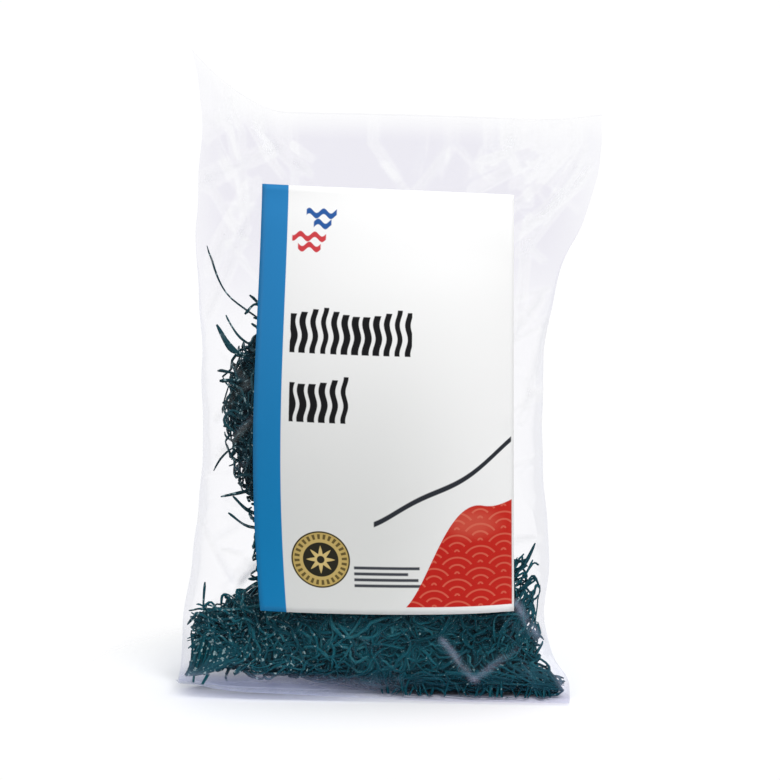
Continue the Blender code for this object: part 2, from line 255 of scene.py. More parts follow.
def finish(name, shape, material, node=None):
    # turns a bmesh in the tables' millimetres into a piece in metres
    bmesh.ops.translate(shape, vec=-middle, verts=shape.verts)
    bmesh.ops.scale(shape, vec=(mm, mm, mm), verts=shape.verts)
    mesh = bpy.data.meshes.new(name)
    shape.to_mesh(mesh)
    shape.free()
    mesh.shade_smooth()
    mesh.materials.append(material)
    piece = bpy.data.objects.new(name, mesh)
    stageScene.collection.objects.link(piece)
    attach(piece, "root")
    if node:
        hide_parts(node)
    return piece


# film packet

packet = {
    "columns": 288,
    "floorRows": 9,
    "tubeRows": 206,
    "topRows": 12,
    "sealHeight": 11.0,
    "floorRounding": 0.7,
    "topSlope": 0.024,
    "sealSqueeze": 0.7,
    "leftEarCorner": -70.0,
    "leftEarRise": 23.5,
    "leftEarWidth": 34.0,
    "rightEarCorner": 89.0,
    "rightEarRise": 3.0,
    "rightEarWidth": 30.0,
    "earsStart": 0.72,
    "sealWave": 2.6,
    "waveTurn": 0.6,
    "waveFrom": 0.7,
    "waveOver": 0.3,
    "flatWidth": 159.0,
    "wall": 0.6,
    "pressedFlat": 2.4,
    "pressedBelow": 7.0,
    # each fall is where it starts and over how many millimetres it goes
    "cornerLift": 4.0,
    "cornerFall": (-52.0, 24.0),
    "footSlant": 3.2,
    "slantFall": (20.0, 90.0),
    "liftFall": (-12.0, 22.0),
    "liftHeight": 14.0,
    "earLean": 3.0,
    "leanFall": (-40.0, 30.0),
    "sideWobble": 0.9,
    "wobblePitch": 0.055,
    "creaseSeed": 7,
    # how many, then the range of their reach, half width and height
    "sealCreases": (13, (12.0, 30.0), (2.4, 5.0), (-0.9, 1.2)),
    "cornerCreases": (18, (18.0, 52.0), (2.2, 4.5), (0.5, 1.6)),
    "sideCreases": (30, (8.0, 22.0), (2.0, 4.5), (-0.9, 1.2)),
    "floorCreases": (16, (8.0, 22.0), (1.8, 3.5), (-0.7, 1.0)),
    "creaseCorners": {-1: (-67.0, 240.0), 1: (86.0, 228.0)},
    "creaseMargin": 7.0,
    "calmBelow": 34.0,
    "calmShare": 0.25,
    "weld": 0.002,
    "smoothings": 3,
    "smoothFrom": 3.0,
    "smoothTo": 216.0,
    "crumple": 1.9,
    "crumpleSize": 17.0,
    "crumpleLayers": ((1.0, 0.7), (0.47, 0.3)),  # size and share of each
    "crumpleEdge": 0.6,
    "crumpleMiddle": 0.25,
    "crumpleMargin": 12.0,
    # a fold's lit side, set by lightSlope, litWidth and litHeight, carries a painted highlight in the film's
    # finish
    "lightSlope": (0.85, 0.5),  # which way a fold's lit side faces
    "litWidth": 1.5,
    "litHeight": 1.5,
    "ridgeWidth": 2.2,
    "ridgeHeight": 1.4,
    "ventPlace": (24.0, 196.0),
    "ventRadius": 1.0,
    # share of the way up, left and right x, front y and z, back y and z
    "rails": (
        (0.00, -78.5, 79.0, -24.0, 1.2, -24.0, 0.0),
        (0.05, -79.0, 78.0, -27.0, 11.0, -5.0, 0.0),
        (0.11, -79.0, 71.7, -28.0, 26.0, 14.0, 0.0),
        (0.17, -78.2, 68.3, -28.0, 41.0, 24.0, 12.0),
        (0.27, -74.8, 69.6, -27.5, 62.0, 27.0, 42.0),
        (0.42, -70.4, 67.0, -26.0, 96.0, 26.0, 85.0),
        (0.57, -70.6, 66.8, -22.5, 130.0, 22.5, 124.0),
        (0.72, -71.4, 71.2, -16.5, 162.0, 16.5, 160.0),
        (0.79, -72.6, 76.2, -12.5, 177.0, 12.5, 176.0),
        (0.84, -71.4, 82.0, -9.5, 188.0, 9.5, 187.0),
        (0.92, -69.6, 86.8, -4.5, 204.0, 4.5, 204.0),
        (1.00, -70.6, 89.6, -0.6, 220.0, 0.6, 220.0),
    ),
    # share of the way up, how flat the faces are, how blunt the sides are
    "sections": (
        (0.00, 8.0, 0.15),
        (0.05, 2.8, 0.60),
        (0.17, 2.6, 0.56),
        (0.42, 2.6, 0.55),
        (0.72, 2.3, 0.66),
        (0.84, 2.2, 0.75),
        (0.92, 2.2, 0.85),
        (1.00, 8.0, 0.15),
    ),
    # foot x and z, tip x and z, half width, height
    "frontFolds": (
        (57.5, 112.0, 67.0, 150.0, 4.5, 2.2),
        (57.0, 204.0, 86.0, 229.0, 5.0, 2.2),
        (46.0, 213.0, 70.0, 231.0, 4.0, 1.6),
        (60.0, 178.0, 85.0, 210.0, 5.5, 2.6),
        (58.5, 150.0, 62.0, 190.0, 4.0, -1.6),
        (-68.0, 238.0, -44.0, 214.0, 5.0, 2.0),
        (-68.0, 203.0, -49.0, 226.0, 5.0, 1.8),
        (-68.0, 170.0, -50.0, 200.0, 6.0, -1.6),
        (-73.0, 68.0, -59.0, 46.0, 4.5, 0.6),
        (27.0, 22.0, 40.0, 6.0, 3.2, 2.0),
        (41.0, 6.0, 58.0, 18.0, 3.2, 1.3),
        (56.0, 36.0, 76.0, 2.0, 3.6, 1.9),
    ),
    "backFolds": (
        (-66.0, 236.0, -30.0, 206.0, 5.5, 2.4),
        (-68.0, 190.0, -40.0, 214.0, 5.0, 1.8),
        (-66.0, 150.0, -52.0, 182.0, 5.0, -1.8),
        (84.0, 226.0, 40.0, 200.0, 5.5, 2.4),
        (82.0, 204.0, 52.0, 178.0, 5.5, 2.0),
        (66.0, 156.0, 48.0, 128.0, 5.0, 1.8),
        (-70.0, 20.0, -46.0, 46.0, 5.5, 2.2),
        (66.0, 18.0, 44.0, 44.0, 5.5, 2.2),
        (-30.0, 16.0, -8.0, 34.0, 5.0, 1.4),
        (34.0, 12.0, 12.0, 32.0, 5.0, 1.4),
    ),
}
label = {
    "left": -45.0,
    "right": 55.0,
    "bottom": 34.5,
    "top": 202.5,
    "columns": 44,
    "rows": 70,
    "gap": 0.45,
    "paper": 0.3,
    # how far the corners stand off the plain rectangle: left x and z, right x and z
    "topCorners": (-0.2, 1.0, -0.1, -2.8),
    "bottomCorners": (0.1, -0.3, 1.3, -0.5),
    "bow": 2.9,
    "smoothings": 3,
}


def fineCreases(draw):
    # small creases of thin film: they start at the seals and the sides and run inwards
    creases = []
    count, reaches, halfWidths, heights = packet["sealCreases"]
    for _ in range(count):  # down from the upper seal
        x = draw.uniform(-66, 84)
        lean, reach = draw.uniform(-1.1, 1.1), draw.uniform(*reaches)
        top = 222 + max(0, -x - 40) * 0.4 - draw.uniform(0, 12)
        creases.append((x, top, x + lean * reach, top - reach,
                        draw.uniform(*halfWidths), draw.uniform(*heights)))
    count, reaches, halfWidths, heights = packet["cornerCreases"]
    for _ in range(count):  # fans into the upper corners
        side = draw.choice((-1, 1))
        corner = packet["creaseCorners"][side]
        away, reach = draw.uniform(0.15, 1.35), draw.uniform(*reaches)
        start = draw.uniform(4, 18)
        along = (-side * math.sin(away), -math.cos(away))
        creases.append((corner[0] + along[0] * start, corner[1] + along[1] * start,
                        corner[0] + along[0] * reach, corner[1] + along[1] * reach,
                        draw.uniform(*halfWidths), draw.uniform(*heights)))
    count, reaches, halfWidths, heights = packet["sideCreases"]
    for _ in range(count):  # in from the sides
        side = draw.choice((-1, 1))
        z, reach = draw.uniform(20, 212), draw.uniform(*reaches)
        x = side * draw.uniform(60, 69)
        creases.append((x, z, x - side * reach, z + reach * draw.uniform(-1.2, 1.2),
                        draw.uniform(*halfWidths), draw.uniform(*heights)))
    count, reaches, halfWidths, heights = packet["floorCreases"]
    for _ in range(count):  # up from the floor
        x, reach = draw.uniform(-68, 70), draw.uniform(*reaches)
        creases.append((x, 4, x + reach * draw.uniform(-0.8, 0.8), 4 + reach,
                        draw.uniform(*halfWidths), draw.uniform(*heights)))
    return creases


def crumples(x, z, side):
    # shallow cells with sharp edges between them, as thin film has once it was squeezed
    size, heights = packet["crumpleSize"], []
    for vx, vz, vs in zip(x, z, side):
        total = 0.0
        for scale, part in packet["crumpleLayers"]:
            across, up = vx / (size * scale), vz / (size * 1.5 * scale)
            near = noise.voronoi(Vector((across + 0.35 * up, up - 0.25 * across, 7.0 * vs)))[0]
            total += part * min(near[1] - near[0], packet["crumpleEdge"])
        heights.append(total)
    return packet["crumple"] * (np.array(heights) - packet["crumpleMiddle"])


def foldHeights(x, z, folds):
    # how far the folds push the film out, and how much of their lit side and ridge is here; the lit side is
    # where the film's finish paints a highlight
    total, lit, ridge = np.zeros((3, *x.shape))
    slopeX, slopeZ = packet["lightSlope"]
    for x0, z0, x1, z1, halfWidth, height in folds:
        reach = (x1 - x0) ** 2 + (z1 - z0) ** 2
        t = np.clip(((x - x0) * (x1 - x0) + (z - z0) * (z1 - z0)) / reach, 0, 1)
        away = np.hypot(x - x0 - t * (x1 - x0), z - z0 - t * (z1 - z0))
        near = np.maximum(0, 1 - away / halfWidth)
        total += height * near
        aside = (x - x0) * (z1 - z0) - (z - z0) * (x1 - x0)
        upRight = aside / math.sqrt(reach) \
            * math.copysign(1, height * ((z1 - z0) * slopeZ - (x1 - x0) * slopeX))
        lit += near * np.clip(upRight / packet["litWidth"], 0, 1) \
            * min(1.0, abs(height) / packet["litHeight"])
        ridge += np.maximum(0, 1 - away / packet["ridgeWidth"]) ** 2 \
            * min(1.0, abs(height) / packet["ridgeHeight"])
    return total, lit, ridge


def earRise(x, share):
    high = eased((share - packet["earsStart"]) / (1 - packet["earsStart"]))
    leftWidth, rightWidth = packet["leftEarWidth"], packet["rightEarWidth"]
    left = np.maximum(0.0, (packet["leftEarCorner"] - x + leftWidth) / leftWidth) ** 1.7
    right = np.maximum(0.0, (x - packet["rightEarCorner"] + rightWidth) / rightWidth) ** 2
    return high * (packet["leftEarRise"] * left + packet["rightEarRise"] * right - packet["topSlope"] * x)


def waveAt(x):
    return np.sin(2 * np.pi * x / packet["flatWidth"] + packet["waveTurn"])


def falling(values, start, over):  # 0 above the start, and 1 as far below it as the fall is long
    return np.clip((start - values) / over, 0, 1)


def filmRing(share, turns, frontCreases, backCreases):
    # one ring of the film at many turns: from its right side past the front
    left, right, frontY, frontZ, backY, backZ = between(packet["rails"], share)
    flatness, bluntness = between(packet["sections"], share)
    c, s = np.cos(2 * np.pi * turns), np.sin(2 * np.pi * turns)
    side = np.where(np.abs(s) < 1e-9, 0.0, np.sign(s))
    bulge = side * np.maximum(0.0, 1 - np.abs(c) ** flatness) ** bluntness
    depth = np.array(((frontY - backY) / 2, (frontZ - backZ) / 2))
    size = float(np.hypot(*depth))
    outward = depth / size
    x = (left + right) / 2 + (right - left) / 2 * c
    y = (frontY + backY) / 2 + depth[0] * bulge
    z = (frontZ + backZ) / 2 + depth[1] * bulge
    front = side > 0
    large = np.where(front, foldHeights(x, z, packet["frontFolds"]), foldHeights(x, z, packet["backFolds"]))
    clear = np.maximum(np.maximum(label["left"] - x, x - label["right"]),
                       np.maximum(label["bottom"] - z, z - label["top"]))
    small = np.where(front, foldHeights(x, z, frontCreases) * np.clip(clear / packet["creaseMargin"], 0, 1),
                     foldHeights(x, z, backCreases))
    small[1:] *= np.where(z < packet["calmBelow"], packet["calmShare"], 1.0)
    push, lit, ridge = large + small
    free = np.where(front, np.clip(clear / packet["crumpleMargin"], 0, 1), 1.0)
    push = (push + crumples(x, z, side) * free) * np.abs(bulge) * min(1.0, size / 6)  # none at the seals
    y += outward[0] * side * push
    z += outward[1] * side * push + earRise(x, share)
    high = eased((share - packet["waveFrom"]) / packet["waveOver"])
    y += packet["sealWave"] * high * waveAt(x)
    low, flat = packet["pressedBelow"], packet["pressedFlat"]
    z = np.where(side <= 0, np.minimum(z, low * (z - flat) / (low - flat)), z)
    return x, y, np.maximum(z, 0.0), np.minimum(lit, 1.0), np.minimum(ridge, 1.0)


def makeFilmShape():
    draw = random.Random(packet["creaseSeed"])
    frontCreases, backCreases = fineCreases(draw), fineCreases(draw)
    columns = packet["columns"]
    rows = packet["floorRows"] + packet["tubeRows"] + packet["topRows"]
    turns = np.arange(columns + 1) / columns
    turns[-1] = 0.0
    places = []
    for row in range(rows + 1):
        if row < packet["floorRows"]:
            out = 1 - row / packet["floorRows"]
            x, y, z, lit, ridge = filmRing(0.0, turns, frontCreases, backCreases)
            y = y - packet["sealHeight"] * out
            z = packet["wall"] + (z - packet["wall"]) * (1 - out) * packet["sealSqueeze"]
        elif row <= packet["floorRows"] + packet["tubeRows"]:
            even = (row - packet["floorRows"]) / packet["tubeRows"]
            share = even + packet["floorRounding"] * (0.5 - 0.5 * math.cos(math.pi * even) - even)
            x, y, z, lit, ridge = filmRing(share, turns, frontCreases, backCreases)
        else:
            out = (row - packet["floorRows"] - packet["tubeRows"]) / packet["topRows"]
            x, y, z, lit, ridge = filmRing(1.0, turns, frontCreases, backCreases)
            wave = packet["sealWave"] * waveAt(x)
            y = wave + (y - wave) * (1 - out) * packet["sealSqueeze"]
            z = z + packet["sealHeight"] * out
            x = x - packet["earLean"] * out * falling(x, *packet["leanFall"])
        pitch = packet["wobblePitch"]
        wobble = packet["sideWobble"] * np.array(
            [noise.noise(Vector((math.copysign(9, v - 9), 0, w * pitch))) for v, w in zip(x, z)])
        x = x + wobble * np.abs(np.cos(2 * np.pi * turns)) ** 8
        lift = packet["cornerLift"] * falling(x, *packet["cornerFall"]) ** 2 \
            + packet["footSlant"] * falling(x, *packet["slantFall"])
        z = z + lift * falling(y, *packet["liftFall"]) * np.clip(1 - z / packet["liftHeight"], 0, 1)
        places.append(np.stack((x, y, z, lit, ridge), 1))
    shape = bmesh.new()
    # the folds layer carries each fold's lit side, for the painted highlights, and its ridge
    folds, seals = (shape.loops.layers.uv.new(name) for name in ("folds", "seals"))
    bmesh.ops.create_grid(shape, x_segments=columns, y_segments=rows, size=0.5)
    for v in shape.verts:
        row = round((v.co.y + 0.5) * rows)
        place = places[row][round((v.co.x + 0.5) * columns)]
        out = (row - packet["floorRows"] - packet["tubeRows"]) / packet["topRows"]  # share of the upper seal
        v.co = place[:3]
        for loop in v.link_loops:
            loop[folds].uv = place[3:]
            loop[seals].uv = (min(1.0, max(0.0, out * 6)), max(0.0, out))
    bmesh.ops.remove_doubles(shape, verts=shape.verts, dist=packet["weld"])
    inner = [v for v in shape.verts if packet["smoothFrom"] < v.co.z < packet["smoothTo"]]
    for _ in range(packet["smoothings"]):
        bmesh.ops.smooth_vert(shape, verts=inner, factor=0.5,
                              use_axis_x=True, use_axis_y=True, use_axis_z=True)
    faceOutwards(shape)
    return shape


filmLook = {
    "clear": (0.976, 0.976, 0.986, 1),
    "dusk": (0.870, 0.860, 0.908, 1),
    "gloss": (0.60, 0.65, 0.88),
    "foldWhiteAndHighlight": (0.99, 0.99, 1.0),
    "roughness": 0.18,
    "ior": 1.5,
    "ribs": 7,
    "ribHeight": 0.12,
    "cockleScale": 55.0,
    "cockleHeight": 0.6,
    "crackleScale": 42.0,
    "crackleHeight": 2.2,
    "crackleCap": 0.12,
    "bumpStrength": 0.45,
    "bumpDistance": 0.0015,
    "foldStart": (0.034, 0.062),  # heights and places across are in metres
    "duskSlope": 0.24,
    "topShadePainted": 0.58,
    "duskRise": (0.135, 0.190),
    "duskEnd": (0.221, 0.235),
    "duskLeft": (-0.088, -0.064),
    "duskRight": (0.058, 0.090),
    "footShadowPainted": 0.5,
    "duskMost": 0.7,
    "shineIor": 1.2,
    "shine": 0.9,
    "shineMost": 0.12,
    "litFoldHighlight": 0.80,
    "hazeRidge": 0.16,
    "hazeAndHighlightLow": 0.40,
    "hazeAndHighlightMiddle": 0.45,
    "hazeAndHighlightBand": (0.03, 0.11, 0.03),
    "footLightPainted": 0.50,
    "hazeAndHighlightMost": 0.6,
    "veil": 0.55,
    "sealClear": 0.6,
}


def filmFinish():
    material, shader, w = newFinish("clearFilm")
    look = filmLook
    where = w.add("ShaderNodeTexCoord", output=3)  # Object
    x, y, z = parted(w, where)
    lit, ridge, _ = parted(w, w.add("ShaderNodeUVMap", {"uv_map": "folds"}))
    seal, rib, _ = parted(w, w.add("ShaderNodeUVMap", {"uv_map": "seals"}))
    # fine cockles, a net of creases and the seal's ribs
    cockle = w.add("ShaderNodeTexNoise", None, {
        "Vector": where, "Scale": look["cockleScale"], "Detail": 3.0, "Roughness": 0.55})
    crackle = w.add("ShaderNodeTexVoronoi", {"feature": "DISTANCE_TO_EDGE"}, {
        "Vector": where, "Scale": look["crackleScale"]})
    ribs = (rib * (2 * math.pi * look["ribs"])).maths("SINE") * seal
    height = cockle * look["cockleHeight"] \
        + crackle.maths("MINIMUM", look["crackleCap"]) * look["crackleHeight"] + ribs * look["ribHeight"]
    bump = w.add("ShaderNodeBump", None, {
        "Height": height, "Strength": look["bumpStrength"], "Distance": look["bumpDistance"]})
    # gloss, whiter on the folds: whitening on the creases' ridges and a painted highlight on the folds' lit
    # sides
    whiteningAndHighlight = lit.maths("MAXIMUM", ridge).ease(0.0, 0.3) * z.ease(*look["foldStart"])
    feed(shader, "Base Color", whiteningAndHighlight.blend(look["gloss"], look["foldWhiteAndHighlight"]))
    shader.inputs["Roughness"].default_value = look["roughness"]
    shader.inputs["IOR"].default_value = look["ior"]
    feed(shader, "Normal", bump)
    # see-through film, lavender where it slopes, with painted shade across the top behind the label's top and
    # a painted shadow along the foot's right
    clear = w.add("ShaderNodeBsdfTransparent", None, {"Color": look["clear"]})
    dusk = w.add("ShaderNodeBsdfTransparent", None, {"Color": look["dusk"]})
    slope = w.add("ShaderNodeLayerWeight", None, {"Blend": 0.5, "Normal": bump}, output=1)  # Facing
    # painted shade: the film darker across the middle of the top
    middleBand = x.ease(*look["duskLeft"]) * (1 - x.ease(*look["duskRight"]))
    paintedTopShade = z.ease(*look["duskRise"]) * middleBand * look["topShadePainted"] * (1 - z.ease(*look["duskEnd"]))
    # painted shadow: the film darker along the foot's right
    foot = (1 - z.ease(0.001, 0.007)) * x.ease(-0.02, 0.04) * look["footShadowPainted"]
    slopeTintAndPaintedShade = slope * (1 - slope) * look["duskSlope"] + paintedTopShade + foot
    slopeTintAndPaintedShade = (slopeTintAndPaintedShade * (1 - whiteningAndHighlight * 0.85)).maths("MINIMUM", look["duskMost"])
    skin = w.add("ShaderNodeMixShader", None, {0: slopeTintAndPaintedShade, 1: clear, 2: dusk})
    # gloss at flat angles, haze on the ridges with painted highlights on the folds' lit sides, and painted
    # light at the foot's left
    shine = w.add("ShaderNodeFresnel", None, {"IOR": look["shineIor"], "Normal": bump})
    shine = (shine * look["shine"]).maths("MINIMUM", look["shineMost"])
    blotch = w.add("ShaderNodeTexNoise", None, {"Vector": where, "Scale": 70.0, "Detail": 2.0})
    # painted highlight: the lit sides of folds, which face a fixed light, are whitened
    hazeAndHighlight = lit * look["litFoldHighlight"] * blotch.ease(0.32, 0.60) + ridge * look["hazeRidge"]
    hazeAndHighlight = hazeAndHighlight * (z.between(*look["hazeAndHighlightBand"]) * look["hazeAndHighlightMiddle"] + look["hazeAndHighlightLow"])
    # painted light: the foot's left is lightened out of its shadow
    hazeAndHighlight = hazeAndHighlight + (1 - z.ease(0.001, 0.010)) * (1 - x.ease(-0.05, 0.02)) * look["footLightPainted"]
    covered = shine.maths("MAXIMUM", hazeAndHighlight.maths("MINIMUM", look["hazeAndHighlightMost"]))
    through = w.add("ShaderNodeBsdfTranslucent", None, {"Color": (1, 1, 1, 1)})
    gloss = Wire(w.tree, shader.outputs[0])
    veil = w.add("ShaderNodeMixShader", None, {0: whiteningAndHighlight * look["veil"], 1: gloss, 2: through})
    mixed = w.add("ShaderNodeMixShader", None, {0: covered, 1: skin, 2: veil})
    # the pin hole in the back, and the upper seal fading out
    across, up = x - (packet["ventPlace"][0] - middle.x) * mm, z - packet["ventPlace"][1] * mm
    ventAway = (across * across + up * up).maths("SQRT")
    vent = (1 - ventAway.above(packet["ventRadius"] * mm, 0.0002)) * y.above(0.0, 0.001)
    nothing = w.add("ShaderNodeBsdfTransparent")
    bare = vent.maths("MAXIMUM", rib * look["sealClear"])
    mixed = w.add("ShaderNodeMixShader", None, {0: bare, 1: mixed, 2: nothing})
    out = w.tree.nodes["Material Output"]
    w.tree.links.new(mixed.socket, out.inputs["Surface"])
    return material


# label

printing = {
    "sheet": (100.0, 168.0),  # all places on the sheet are in its millimetres, from its lower left corner
    "bandWidth": 10.6,
    "bandLow": (0.003, 0.205, 0.465),
    "bandHigh": (0.020, 0.215, 0.500),
    "paperLight": (0.925, 0.92, 0.905),
    "paperPaintedShade": (0.71, 0.715, 0.69),
    "frondInk": (0.006, 0.006, 0.007),
    "ruleInk": (0.05, 0.055, 0.065),
    "lineInk": (0.022, 0.025, 0.032),
    # low, high, left, right and lean of each row of fronds
    "fronds": ((103.3, 121.8, 13.2, 60.6, 0.7), (76.2, 94.8, 13.6, 36.4, 2.9)),
    "frondPitch": 4.1,
    "frondWidth": 0.95,
    "ruleLeft": 38.0,
    "ruleEnds": (64.0, 63.0, 59.0, 63.5),
    "ruleLow": 11.0,
    "rulePitch": 2.4,
    "ruleWidth": 1.2,
    "waveWidth": 2.2,
    "waveBlue": (0.020, 0.10, 0.34),
    "waveRed": (0.62, 0.05, 0.06),
    # colour, low, left and right of each small wave
    "waves": (
        ("waveBlue", 156.5, 18.0, 30.0),
        ("waveBlue", 152.5, 21.0, 28.0),
        ("waveRed", 147.5, 12.6, 26.0),
        ("waveRed", 143.5, 15.0, 24.0),
    ),
    "discPlace": (25.2, 21.8),
    "discRadius": 11.4,
    "discRays": 28.0,
    "discCore": 6.9,
    "petal": 5.6,
    "petalCut": 3.2,
    "goldLight": (0.66, 0.50, 0.20),
    "goldDeep": (0.50, 0.36, 0.11),
    "goldRays": (0.12, 0.085, 0.025),
    "discInk": (0.020, 0.018, 0.010),
    "fieldLow": 3.0,
    "fieldLeft": 50.0,
    "fieldRight": 99.2,
    "crestFoot": 2.0,
    "crestRise": 44.0,
    "crestWave": 2.2,
    "scaleMiddle": 60.0,
    "scaleRadius": 9.0,
    "scaleRise": 4.5,
    "scaleRing": 3.0,
    "redDeep": (0.50, 0.012, 0.007),
    "redLight": (0.55, 0.018, 0.010),
    "redPale": (0.66, 0.13, 0.08),
    "gleamPlace": (84.0, 37.0),
    "lineFoot": 36.0,
    "lineRise": 36.0,
    "lineWave": 2.6,
    "lineWidth": 2.2,
}


def labelFinish():
    material, shader, w = newFinish("printedPaper")
    plan = printing
    across, up, _ = parted(w, w.add("ShaderNodeUVMap", {"uv_map": "label"}))
    u, v = across * plan["sheet"][0], up * plan["sheet"][1]
    # side band and paper with painted shade: the band a little darker towards the bottom, the paper darker
    # towards the lower left
    band = v.ease(20.0, 165.0).blend(plan["bandLow"], plan["bandHigh"])
    # painted shade: the paper greys towards the lower left, as if lit from the upper right
    paintedShade = (1 - v.ease(10.0, 150.0)) * (1 - u.ease(40.0, 102.0) * 0.85)
    colour = (1 - u.above(plan["bandWidth"])).blend(paintedShade.blend(plan["paperLight"], plan["paperPaintedShade"]), band)

    def frondRow(low, high, left, right, lean):
        pitch = plan["frondPitch"]
        drift = u + (v * 0.55 + lean).maths("SINE") * 0.55
        cell = (drift / pitch).maths("FLOOR")
        wild = (cell * 12.9898 + lean).maths("SINE").maths("ABSOLUTE")  # another value for each frond
        wide = plan["frondWidth"] + wild * 0.45
        stroke = 1 - ((drift % pitch) - pitch / 2).maths("ABSOLUTE").maths("SUBTRACT", wide).above(0.0, 0.3)
        top = high - wild * 3.4
        span = (1 - (v - top).above(0.0, 0.3)) * v.above(low + 0.2, 0.3)
        return stroke * span * u.between(left, right)

    # two rows of wavy fronds
    upper, lower = (frondRow(*row) for row in plan["fronds"])
    colour = upper.maths("MAXIMUM", lower).blend(colour, plan["frondInk"])

    # plain rules
    rules = None
    for k, end in enumerate(plan["ruleEnds"]):
        low = plan["ruleLow"] + plan["rulePitch"] * k
        line = v.between(low, low + plan["ruleWidth"], 0.4) * u.between(plan["ruleLeft"], end, 0.4)
        rules = line if rules is None else rules.maths("MAXIMUM", line)
    colour = rules.blend(colour, plan["ruleInk"])

    # small waves in blue and red
    for tint, low, left, right in plan["waves"]:
        bend = v - (u * 1.1 + low).maths("SINE") * 0.9
        wave = bend.between(low, low + plan["waveWidth"], 0.4) * u.between(left, right, 0.4)
        colour = wave.blend(colour, plan[tint])

    # gold disc with rings and petals
    radius = plan["discRadius"]
    du, dv = u - plan["discPlace"][0], v - plan["discPlace"][1]
    away = (du * du + dv * dv).maths("SQRT")
    turn = dv.maths("ARCTAN2", du)
    gold = away.ease(0.0, radius).blend(plan["goldLight"], plan["goldDeep"])
    rays = (turn * plan["discRays"]).maths("SINE").above(0.0, 0.6) * away.between(8.2, 10.2)
    gold = rays.blend(gold, plan["goldRays"])
    petals = plan["petal"] - (turn * 4.0).maths("SINE").maths("ABSOLUTE") * plan["petalCut"]
    core = (1 - away.above(plan["discCore"])) * (away - petals).above(0.0, 0.4)
    lines = away.between(10.8, radius, 0.3).maths("MAXIMUM", 1 - away.above(1.5))
    gold = core.maths("MAXIMUM", lines).blend(gold, plan["discInk"])
    colour = (1 - away.above(radius)).blend(colour, gold)

    # field of overlapping wave scales under a wave crest
    radius, rise = plan["scaleRadius"], plan["scaleRise"]
    base = ((v - plan["fieldLow"] - radius) / rise).maths("CEIL")
    scale, found = None, None
    for step in range(3):
        row = base + float(step)
        shift = (row % 2.0) * radius
        su = ((u - plan["scaleMiddle"] - shift) % (2 * radius)) - radius
        sv = v - plan["fieldLow"] - row * rise
        d = (su * su + sv * sv).maths("SQRT")
        inside = 1 - d.above(radius, 0.05)
        if scale is None:
            scale, found = d * inside, inside
        else:
            scale = scale + d * inside * (1 - found)
            found = found.maths("MAXIMUM", inside)
    ring = (scale * (2 * math.pi / plan["scaleRing"])).maths("SINE").above(0.72, 0.35)
    crest = plan["crestFoot"] + u.ease(52.0, 88.0) * plan["crestRise"]
    crest = crest + (u * 0.19).maths("SINE") * plan["crestWave"]
    field = v.above(plan["fieldLow"]) * (1 - (v - crest).above(0.0, 0.4)) \
        * u.between(plan["fieldLeft"], plan["fieldRight"], 0.3)
    red = (u + v * 0.6).ease(70.0, 130.0).blend(plan["redDeep"], plan["redLight"])
    gu, gv = u - plan["gleamPlace"][0], v - plan["gleamPlace"][1]
    gleam = (gu ** 2.0 + gv ** 2.0 * 3.0).maths("SQRT").ease(3.0, 15.0)
    red = (ring * 0.8 + (1 - gleam) * 0.5).blend(red, plan["redPale"])
    colour = field.blend(colour, red)

    # swelling line over the field
    swell = plan["lineFoot"] + u.ease(44.0, 112.0) * plan["lineRise"]
    swell = swell + (u * 0.13).maths("SINE") * plan["lineWave"]
    line = (v - swell).between(0.0, plan["lineWidth"], 0.4) * u.between(46.0, 99.0, 0.4)
    colour = line.blend(colour, plan["lineInk"])

    feed(shader, "Base Color", colour)
    where = w.add("ShaderNodeTexCoord", output=3)  # Object
    grain = w.add("ShaderNodeTexNoise", None, {"Vector": where, "Scale": 900.0, "Detail": 2.0})
    cockle = w.add("ShaderNodeTexNoise", None, {"Vector": where, "Scale": 26.0, "Detail": 1.0})
    feed(shader, "Normal", w.add("ShaderNodeBump", None, {
        "Height": grain * 0.06 + cockle, "Strength": 0.25, "Distance": 0.0008}))
    feed(shader, "Roughness", 0.34 + grain * 0.10)
    shader.inputs["Specular IOR Level"].default_value = 0.2
    return material


def plainPaper():
    material, shader, w = newFinish("plainPaper")
    where = w.add("ShaderNodeTexCoord", output=3)  # Object
    pulp = w.add("ShaderNodeTexNoise", None, {"Vector": where, "Scale": 420.0, "Detail": 3.0})
    feed(shader, "Base Color", pulp.ease(0.3, 0.7).blend((0.70, 0.69, 0.67), (0.80, 0.79, 0.77)))
    shader.inputs["Roughness"].default_value = 0.7
    feed(shader, "Normal", w.add("ShaderNodeBump", None, {
        "Height": pulp, "Strength": 0.2, "Distance": 0.0002}))
    return material


